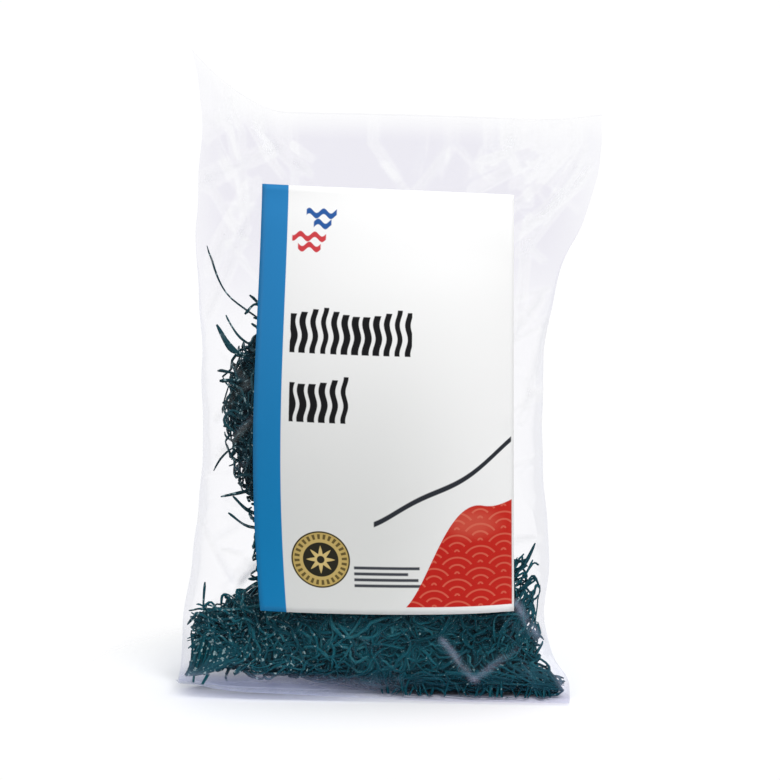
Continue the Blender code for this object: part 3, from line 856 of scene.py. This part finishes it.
def makeLabel(film):
    shape = bmesh.new()
    shape.loops.layers.uv.new("label")
    columns, rows = label["columns"], label["rows"]
    bmesh.ops.create_grid(shape, x_segments=columns, y_segments=rows, size=0.5, calc_uvs=True)
    left, right, bottom, top = label["left"], label["right"], label["bottom"], label["top"]
    high, low = label["topCorners"], label["bottomCorners"]
    for v in shape.verts:
        a, b = v.co.x + 0.5, v.co.y + 0.5
        x = ((left + high[0]) * (1 - a) + (right + high[2]) * a) * b \
            + ((left + low[0]) * (1 - a) + (right + low[2]) * a) * (1 - b)
        z = ((top + high[1]) * (1 - a) + (top + high[3]) * a) * b \
            + ((bottom + low[1]) * (1 - a) + (bottom + low[3]) * a) * (1 - b)
        x -= label["bow"] * math.sin(math.pi * (1 - b) ** 1.5) * (1 - a) ** 2
        hit = film.ray_cast(Vector((x, -90, z)), Vector((0, 1, 0)))[0]  # from well in front of the film
        v.co = (x, hit.y - label["gap"] - label["paper"], z)
    for _ in range(label["smoothings"]):
        bmesh.ops.smooth_vert(shape, verts=[v for v in shape.verts if not v.is_boundary], factor=0.5,
                              use_axis_y=True)
    bmesh.ops.recalc_face_normals(shape, faces=shape.faces)
    if sum(f.normal.y for f in shape.faces) > 0:
        bmesh.ops.reverse_faces(shape, faces=shape.faces)
    piece = finish("frontSheet", shape, labelFinish(), "front_label")
    piece.data.materials.append(plainPaper())
    solid = piece.modifiers.new("paper", "SOLIDIFY")
    solid.thickness, solid.offset = label["paper"] * mm, -1.0
    solid.material_offset = solid.material_offset_rim = 1
    return piece


# shreds

weed = {
    # height, left and right x, share of the packet's depth
    "stations": (
        (2.0, -68.0, 69.0, 0.88),
        (8.0, -73.0, 67.0, 0.94),
        (18.0, -72.0, 61.0, 0.94),
        (28.0, -61.0, 59.0, 0.92),
        (36.0, -50.0, 57.0, 0.89),
        (46.0, -47.0, 52.0, 0.86),
        (66.0, -48.0, 46.0, 0.83),
        (84.0, -53.0, 43.0, 0.80),
        (102.0, -58.0, 40.0, 0.77),
        (120.0, -59.0, 30.0, 0.68),
        (132.0, -54.0, 19.0, 0.56),
        (142.0, -44.0, 8.0, 0.44),
        (153.0, -34.0, -8.0, 0.22),
    ),
    "coreSegments": (72, 44),
    "footShare": 0.15,
    "topShare": 0.06,
    "footRise": 1.5,
    "leftLift": 9.0,
    "liftRight": 10.0,
    "liftLength": 75.0,
    "liftTop": 30.0,
    "lumps": 6.5,
    "lumpSize": 16.0,
    "seed": 23,
    "steps": 12,
    "width": 1.35,
    "thickness": 0.62,
    "kink": 0.34,
    "waver": 0.4,
    "swing": 0.35,
    "twist": 0.5,
    "widthMean": 0.84,
    "widthWaver": 0.16,
    "tipWidth": 0.55,
    "tipGrowth": 5.0,
    "filmGap": 0.35,
    "pathGap": 0.5,
    "coreGap": 2.4,
    "quickShare": 0.35,
    "widths": (0.55, 1.25),
    "thicknesses": (0.7, 1.2),
    "strayWidths": (0.4, 0.95),
    "strayLongest": 30.0,
    "strayShortest": 12.0,
    "strayBow": 5.0,
    "rootDepth": 2.5,
    # region, how many, shortest and longest, rise over the core, how much they curl, whether they stand free
    "groups": {
        "bed": (
            ("bedFront", 1020, 16.0, 52.0, 2.8, 3.0, False),
            ("bedBack", 560, 20.0, 56.0, 3.2, 2.6, False),
            ("under", 180, 16.0, 36.0, 1.2, 1.8, False),
            ("bedFront", 160, 10.0, 34.0, 5.0, 3.6, False),
        ),
        "heapBack": (
            ("bodyBack", 1000, 20.0, 58.0, 3.4, 2.6, False),
            ("bodyBack", 260, 12.0, 40.0, 7.0, 3.6, False),
            ("bodyBack", 60, 8.0, 20.0, 3.0, 4.0, True),
            ("rightHigh", 230, 14.0, 44.0, 3.0, 3.0, False),
        ),
        "heapFront": (
            ("bodyFront", 430, 20.0, 58.0, 2.6, 2.6, False),
            ("crown", 330, 14.0, 42.0, 3.2, 3.0, False),
            ("crown", 190, 10.0, 34.0, 9.0, 4.0, False),
            ("crown", 50, 8.0, 22.0, 3.0, 4.0, True),
            ("leftTop", 260, 12.0, 34.0, 3.6, 2.4, False),
            ("leftTop", 170, 8.0, 22.0, 7.5, 2.8, False),
            ("leftTop", 60, 6.0, 14.0, 3.0, 2.2, True),
        ),
        "loose": (
            ("leftLow", 80, 12.0, 30.0, 2.6, 2.4, False),
            ("leftLow", 60, 8.0, 20.0, 6.5, 2.8, False),
            ("leftLow", 30, 5.0, 13.0, 3.0, 2.2, True),
            ("leftFoot", 200, 12.0, 36.0, 4.0, 3.2, False),
            ("rightSide", 200, 12.0, 36.0, 3.4, 3.2, False),
            ("rightSide", 90, 8.0, 24.0, 8.0, 4.5, False),
            ("rightSide", 35, 6.0, 16.0, 3.0, 4.5, True),
            ("corners", 300, 8.0, 28.0, 5.5, 3.6, False),
            ("corners", 90, 6.0, 16.0, 2.0, 4.5, True),
        ),
    },
    # stray shreds at the bed's ragged edge: how many, then the box of their roots and of their tips
    "strays": (
        (90, ((-64.0, -22.0, 12.0), (-48.0, -8.0, 20.0)), ((-78.0, -27.0, 9.0), (-70.0, -16.0, 16.0))),
        (80, ((-66.0, -18.0, 14.0), (-48.0, -4.0, 29.0)), ((-77.0, -17.0, 12.0), (-67.0, -4.0, 30.0))),
        (22, ((-60.0, -18.0, 25.0), (-44.0, -6.0, 30.0)), ((-72.0, -16.0, 27.0), (-62.0, -6.0, 32.0))),
        (26, ((-54.0, -20.0, 26.0), (-44.0, -6.0, 33.0)), ((-62.0, -18.0, 29.0), (-50.0, -6.0, 40.0))),
        (110, ((48.0, -22.0, 3.0), (64.0, -8.0, 14.0)), ((66.0, -27.0, 1.5), (77.0, -16.0, 7.0))),
        (60, ((48.0, -20.0, 12.0), (60.0, -6.0, 32.0)), ((60.0, -17.0, 14.0), (68.0, -6.0, 42.0))),
        (24, ((46.0, -20.0, 36.0), (54.0, -6.0, 48.0)), ((56.0, -17.0, 40.0), (68.0, -6.0, 58.0))),
        (70, ((-50.0, -24.0, 9.0), (0.0, -20.0, 14.0)), ((-54.0, -28.0, 8.0), (10.0, -22.0, 15.0))),
        (80, ((0.0, -25.0, 3.0), (66.0, -20.0, 9.0)), ((-6.0, -28.0, 3.0), (70.0, -22.0, 10.0))),
    ),
    # shreds that stand beside the label: width, then share of the way along and the point
    "long": (
        (0.5, (0.0, -45.0, -6.0, 148.0), (0.35, -58.0, -8.0, 158.0), (0.7, -66.0, -8.0, 168.0),
         (1.0, -69.0, -6.0, 178.0)),
        (1.5, (0.0, -44.0, -6.0, 130.0), (0.5, -55.0, -10.0, 136.0), (1.0, -65.0, -9.0, 147.0)),
        (1.3, (0.0, -46.0, -6.0, 134.0), (0.5, -57.0, -11.0, 137.0), (1.0, -64.0, -10.0, 144.5)),
        (0.7, (0.0, -46.0, -4.0, 136.0), (0.5, -54.0, -9.0, 142.0), (1.0, -60.0, -9.0, 151.0)),
        (0.9, (0.0, -40.0, -12.0, 150.0), (0.5, -47.0, -12.0, 156.0), (1.0, -52.0, -12.0, 152.0)),
        (1.2, (0.0, -42.0, -4.0, 122.0), (0.5, -53.0, -11.0, 125.0), (1.0, -62.5, -10.0, 124.5)),
        (0.8, (0.0, -50.0, -10.0, 109.0), (0.35, -57.0, -12.0, 113.0), (0.7, -60.5, -12.0, 108.5),
         (1.0, -56.0, -12.0, 104.0)),
        (0.6, (0.0, -50.0, -8.0, 98.0), (0.5, -58.0, -12.0, 97.0), (1.0, -66.0, -11.0, 88.0)),
        (1.0, (0.0, -42.0, -6.0, 82.0), (0.5, -52.0, -12.0, 80.0), (1.0, -62.0, -11.0, 77.5)),
        (1.1, (0.0, -40.0, -6.0, 68.0), (0.5, -50.0, -13.0, 72.0), (1.0, -57.0, -12.0, 78.0)),
        (0.9, (0.0, -42.0, -6.0, 64.0), (0.5, -51.0, -13.0, 66.0), (1.0, -59.0, -11.0, 71.0)),
        (0.9, (0.0, -44.0, -16.0, 34.5), (0.5, -58.0, -17.0, 32.5), (1.0, -71.0, -12.0, 31.5)),
        (0.8, (0.0, -66.0, -12.0, 24.0), (0.5, -69.0, -14.0, 33.0), (1.0, -69.5, -14.0, 43.0)),
        (0.7, (0.0, -54.0, -12.0, 30.0), (0.35, -57.0, -15.0, 37.0), (0.7, -61.0, -15.0, 38.0),
         (1.0, -62.0, -13.0, 33.0)),
        (1.1, (0.0, 41.0, -4.0, 42.0), (0.5, 58.0, -13.0, 50.0), (1.0, 65.0, -10.0, 60.0)),
        (0.9, (0.0, 42.0, -5.0, 32.0), (0.5, 59.0, -13.0, 42.0), (1.0, 66.0, -11.0, 46.0)),
        (0.7, (0.0, 44.0, -8.0, 44.0), (0.5, 56.0, -15.0, 54.0), (1.0, 62.0, -13.0, 51.0)),
    ),
}


def keptInside(point, film, gap):  # moves a point that is too near the film back to the gap
    near, normal, _, _ = film.find_nearest(point)
    depth = (near - point).dot(normal)
    return point if depth >= gap else near - normal * gap


def packetDepth(z):  # y of the front and of the back film
    table = np.array(packet["rails"])
    return (np.interp(z, table[:, 4], table[:, 3]) + packet["wall"],
            np.interp(z, table[2:, 6], table[2:, 5]) - packet["wall"])


def sphereOrder(face):
    # ring of the sphere, then place in the ring
    around, along = weed["coreSegments"]
    x, y, z = face.calc_center_median().normalized()
    return int(math.acos(z) / math.pi * along) * around + int((math.atan2(y, x) / math.pi + 1) * around / 2)


def makeCore(film, material):
    shape = bmesh.new()
    around, along = weed["coreSegments"]
    bmesh.ops.create_uvsphere(shape, u_segments=around, v_segments=along, radius=1.0)
    # Blender gives a sphere's faces in another order each run, and the draws below pick from them
    shape.faces.sort(key=sphereOrder)
    shape.faces.index_update()
    low, high = weed["stations"][0][0], weed["stations"][-1][0]
    foot, rise = weed["footShare"], weed["footRise"]
    for v in shape.verts:
        up = math.acos(max(-1, min(1, -v.co.z))) / math.pi
        turn = math.atan2(v.co.y, v.co.x)
        close = min(1.0, up / foot, ((1 - up) / weed["topShare"]) ** 0.7)
        z = low + rise * min(1.0, up / foot) ** 2
        z += (high - low - rise) * max(0.0, up - foot) / (1 - foot)
        left, right, share = between(weed["stations"], z)
        front, back = packetDepth(z)
        c, s = math.cos(turn), math.sin(turn)
        roundSide = math.copysign((1 - abs(c) ** 2.4) ** 0.6, s) if abs(s) > 1e-9 else 0.0
        place = Vector(((left + right) / 2 + (right - left) / 2 * c * close,
                        (front + back) / 2 + (front - back) / 2 * share * roundSide * close, z))
        lump = 0.5 + 0.5 * noise.noise(place / weed["lumpSize"])
        outward = Vector((c, -roundSide, 0)).normalized()
        place -= outward * (weed["lumps"] * lump * close)
        place.z += weed["leftLift"] * eased((weed["liftRight"] - place.x) / weed["liftLength"]) \
            * max(0.0, 1 - place.z / weed["liftTop"])
        v.co = keptInside(place, film, weed["coreGap"])
    faceOutwards(shape)
    tree = BVHTree.FromBMesh(shape)
    faces = [(f.calc_center_median(), f.normal.copy(), f.calc_area(), [v.co.copy() for v in f.verts])
             for f in shape.faces]
    finish("shredCore", shape, material, "arame_tangle")
    return tree, faces


def inRegion(name, point, normal):  # whether a face of the core is in the part with this name
    x, _, z = point
    return {
        "bedFront": z < 42 and normal.y < -0.3,
        "bedBack": z < 42 and normal.y > 0.3,
        "under": z < 10 and normal.z < -0.3,
        "bodyBack": z >= 38 and normal.y > 0.3,
        "bodyFront": z >= 38 and normal.y < -0.3,
        "leftTop": x < -34 and z > 90 and normal.x < -0.15,
        "leftLow": x < -34 and 38 < z < 92 and normal.x < -0.15,
        "leftFoot": x < -40 and 5 < z < 36 and normal.x < -0.15,
        "rightSide": x > 34 and 5 < z < 54 and normal.x > 0.15,
        "rightHigh": x > 16 and z > 50 and normal.x > 0.15,
        "crown": z > 84 and normal.z > 0.12,
        "corners": z < 26 and abs(x) > 46,
    }[name]


def startPlaces(faces, region, count, draw):
    # even random places on the region's faces
    chosen = [f for f in faces if inRegion(region, f[0], f[1])]
    for face in draw.choices(chosen, weights=[f[2] for f in chosen], k=count):
        a, b, c = (Vector(p) for p in draw.sample(face[3], 3))
        m, n = sorted((draw.random(), draw.random()))
        yield a * m + b * (n - m) + c * (1 - n), face[1]


def turned(vector, axis, angle):
    return Quaternion(axis, angle) @ vector


def lyingPath(start, normal, length, rise, curl, core, draw):
    # wanders over the core, with its middle humped up
    steps = weed["steps"]
    heading = turned(normal.orthogonal().normalized(), normal, draw.uniform(0, 2 * math.pi))
    bend, sway = draw.uniform(-curl, curl), draw.uniform(0, 2 * math.pi)
    base, hump = draw.uniform(-0.8, rise * 0.7), draw.uniform(0.3, 1.0) * rise * 0.5
    point, path = start, []
    for i in range(steps + 1):
        near, up, _, _ = core.find_nearest(point)
        t = i / steps
        aside = heading.cross(up) * draw.uniform(-weed["kink"], weed["kink"])
        rising = base + hump * math.sin(math.pi * t) + weed["waver"] * math.sin(9 * t + sway)
        path.append(near + aside + up * rising)
        swing = bend / steps + weed["swing"] * math.sin(sway + 7.0 * t)
        heading = turned((heading - up * heading.dot(up)).normalized(), up, swing)
        point = near + heading * (length / steps)
    return path


def standingPath(start, normal, length, curl, draw):
    # rooted in the core, with a free end
    steps = weed["steps"]
    aside = turned(normal.orthogonal().normalized(), normal, draw.uniform(0, 2 * math.pi))
    heading = (normal + aside * draw.uniform(0.2, 1.3) + Vector((0, 0, 0.2))).normalized()
    bend, sway = draw.uniform(-curl, curl), draw.uniform(0, 2 * math.pi)
    axis = aside.cross(normal)
    point = start - normal * weed["rootDepth"]
    path = [point]
    for i in range(steps):
        swing = bend / steps + 0.16 * math.sin(sway + 0.8 * i) + draw.uniform(-weed["kink"], weed["kink"])
        heading = turned(heading, axis, swing)
        heading = turned(heading, aside, 0.12 * math.cos(sway + 0.6 * i))
        point = point + heading * ((length + weed["rootDepth"]) / steps)
        path.append(point)
    return path


def stationPath(stations, film):
    steps = weed["steps"]
    path = [Vector(between(stations, i / steps)) for i in range(steps + 1)]
    return [keptInside(p, film, weed["filmGap"] + weed["pathGap"]) for p in path]


def strayPath(roots, tips, film, draw):
    # from a place in one box to a place in the other, with a bow
    longest, bow = weed["strayLongest"], weed["strayBow"]
    root, tip = (Vector([draw.uniform(a, b) for a, b in zip(*box)]) for box in (roots, tips))
    if (tip - root).length > longest:
        tip = root + (tip - root).normalized() * draw.uniform(weed["strayShortest"], longest)
    stations = [(0.0, *root)]
    for t in (0.33, 0.67):
        aside = Vector([draw.uniform(-bow, bow) for _ in range(3)])
        stations.append((t, *(root.lerp(tip, t) + aside)))
    stations.append((1.0, *tip))
    path = stationPath(stations, film)
    return path, Vector((0.2, -1.0, 0.3)), weed["width"] * draw.uniform(*weed["strayWidths"])


def shredTemplate():
    # a short bar cut into steps, with its length along z from 0 to 1
    shape = bmesh.new()
    bmesh.ops.create_cube(shape, size=1.0)
    bmesh.ops.translate(shape, vec=(0, 0, 0.5), verts=shape.verts)
    upright = [e for e in shape.edges if abs(e.verts[0].co.z - e.verts[1].co.z) > 0.5]
    bmesh.ops.subdivide_edges(shape, edges=upright, cuts=weed["steps"] - 1, use_grid_fill=True)
    mesh = bpy.data.meshes.new("shredTemplate")
    shape.to_mesh(mesh)
    shape.free()
    return mesh


weedLook = {
    "deep": (0.001, 0.052, 0.071),
    "light": (0.003, 0.095, 0.124),
    "pale": (0.030, 0.150, 0.175),
    "footColour": (0.001, 0.030, 0.052),
    "footShare": 0.5,
    "footTop": (0.003, 0.017),  # heights in metres
    "heapColour": (0.008, 0.028, 0.034),
    "heapShare": 0.55,
    "heapFoot": (0.040, 0.075),
    "speckColour": (0.26, 0.38, 0.39),
    "specks": (0.71, 0.77),
    "moreSpecks": 0.10,
    "moreFrom": (-0.060, -0.005),
    "roughness": 0.42,
    "specular": 0.10,
}


def shredFinish():
    material, shader, w = newFinish("driedWeed")
    look = weedLook
    _, tone, _ = parted(w, w.add("ShaderNodeUVMap", {"uv_map": "strip"}))
    where = w.add("ShaderNodeTexCoord", output=3)  # Object
    x, _, z = parted(w, where)
    mottle = w.add("ShaderNodeTexNoise", None, {
        "Vector": where, "Scale": 260.0, "Detail": 3.0, "Roughness": 0.6})
    broad = w.add("ShaderNodeTexNoise", None, {"Vector": where, "Scale": 34.0, "Detail": 2.0})
    dark = (tone * 0.7 + broad * 0.5).ease(0.25, 0.95).blend(look["deep"], look["light"])
    colour = (mottle * 0.7 + tone * 0.5).ease(0.66, 1.02).blend(dark, look["pale"])
    # darker at the foot, greyer in the heap, and pale specks that are more at the left
    colour = ((1 - z.ease(*look["footTop"])) * look["footShare"]).blend(colour, look["footColour"])
    colour = (z.ease(*look["heapFoot"]) * look["heapShare"]).blend(colour, look["heapColour"])
    speck = w.add("ShaderNodeTexNoise", None, {"Vector": where, "Scale": 620.0, "Detail": 1.0})
    speck = (speck + (1 - x.ease(*look["moreFrom"])) * look["moreSpecks"]).ease(*look["specks"])
    feed(shader, "Base Color", speck.blend(colour, look["speckColour"]))
    feed(shader, "Roughness", look["roughness"] + mottle * 0.28)
    shader.inputs["Specular IOR Level"].default_value = look["specular"]
    fibre = w.add("ShaderNodeTexNoise", None, {"Vector": where, "Scale": 1100.0, "Detail": 2.0})
    feed(shader, "Normal", w.add("ShaderNodeBump", None, {
        "Height": fibre * 0.4 + mottle, "Strength": 0.5, "Distance": 0.0004}))
    return material


def fillShape(template, paths, film, draw):
    # lays one copy of the template along each path
    shape = bmesh.new()
    for _ in paths:
        shape.from_mesh(template)
    corners = [v.co.copy() for v in template.vertices]
    verts = list(shape.verts)
    strip = shape.loops.layers.uv.new("strip")
    tones = []
    for n, (path, up, width) in enumerate(paths):
        steps = len(path) - 1
        across, lift = [], []
        twist = draw.uniform(-weed["twist"], weed["twist"])
        for i in range(steps + 1):
            a = (path[min(i + 1, steps)] - path[max(i - 1, 0)]).normalized()
            side = a.cross(up)
            side = side.normalized() if side.length > 1e-6 else a.orthogonal().normalized()
            up = side.cross(a).normalized()
            spin = twist * math.sin(3.0 * i / steps)
            across.append(turned(side, a, spin))
            lift.append(turned(up, a, spin))
        thick = weed["thickness"] * draw.uniform(*weed["thicknesses"])
        for k, corner in enumerate(corners):
            i = round(corner.z * steps)
            t = i / steps
            size = min(1.0, weed["tipWidth"] + weed["tipGrowth"] * min(t, 1 - t)) \
                * (weed["widthMean"] + weed["widthWaver"] * math.sin(9 * t + n))
            place = path[i] + across[i] * (corner.x * width * size) + lift[i] * (corner.y * thick * size)
            verts[n * len(corners) + k].co = keptInside(place, film, weed["filmGap"])
        tones.append(draw.random())
    perShred = len(template.polygons)
    for j, face in enumerate(shape.faces):
        for loop in face.loops:
            loop[strip].uv = (0.0, tones[j // perShred])
    return shape


def makeShreds(film):
    material = shredFinish()
    core, faces = makeCore(film, material)
    template = shredTemplate()
    draw = random.Random(weed["seed"])
    share = 1.0
    for name, groups in weed["groups"].items():
        paths = []
        for region, count, shortest, longest, rise, curl, standing in groups:
            for start, normal in startPlaces(faces, region, int(count * share), draw):
                length = draw.uniform(shortest, longest)
                if standing:
                    path = standingPath(start, normal, length, curl, draw)
                else:
                    path = lyingPath(start, normal, length, rise, curl, core, draw)
                width = weed["width"] * draw.uniform(*weed["widths"])
                path = [keptInside(p, film, weed["filmGap"] + weed["pathGap"]) for p in path]
                paths.append((path, normal, width))
        if name == "loose":
            paths += [strayPath(roots, tips, film, draw) for count, roots, tips in weed["strays"]
                      for _ in range(int(count * share))]
            paths += [(stationPath(stations, film), Vector((0.3, -1.0, 0.1)), weed["width"] * width)
                      for width, *stations in weed["long"]]
        shape = fillShape(template, paths, film, draw)
        faceOutwards(shape)
        piece = finish(name + "Shreds", shape, material, "arame_tangle")
        print(name, "shreds:", len(paths), "faces:", len(piece.data.polygons))
    bpy.data.meshes.remove(template)


makeCamera()
makeStudio()
print("camera and lights are in")

filmShape = makeFilmShape()
filmTree = BVHTree.FromBMesh(filmShape)
finish("filmSkin", filmShape, filmFinish(), "film_packet")
print("film is in")

makeLabel(filmTree)
print("label is in")

makeShreds(filmTree)
print("shreds are in")
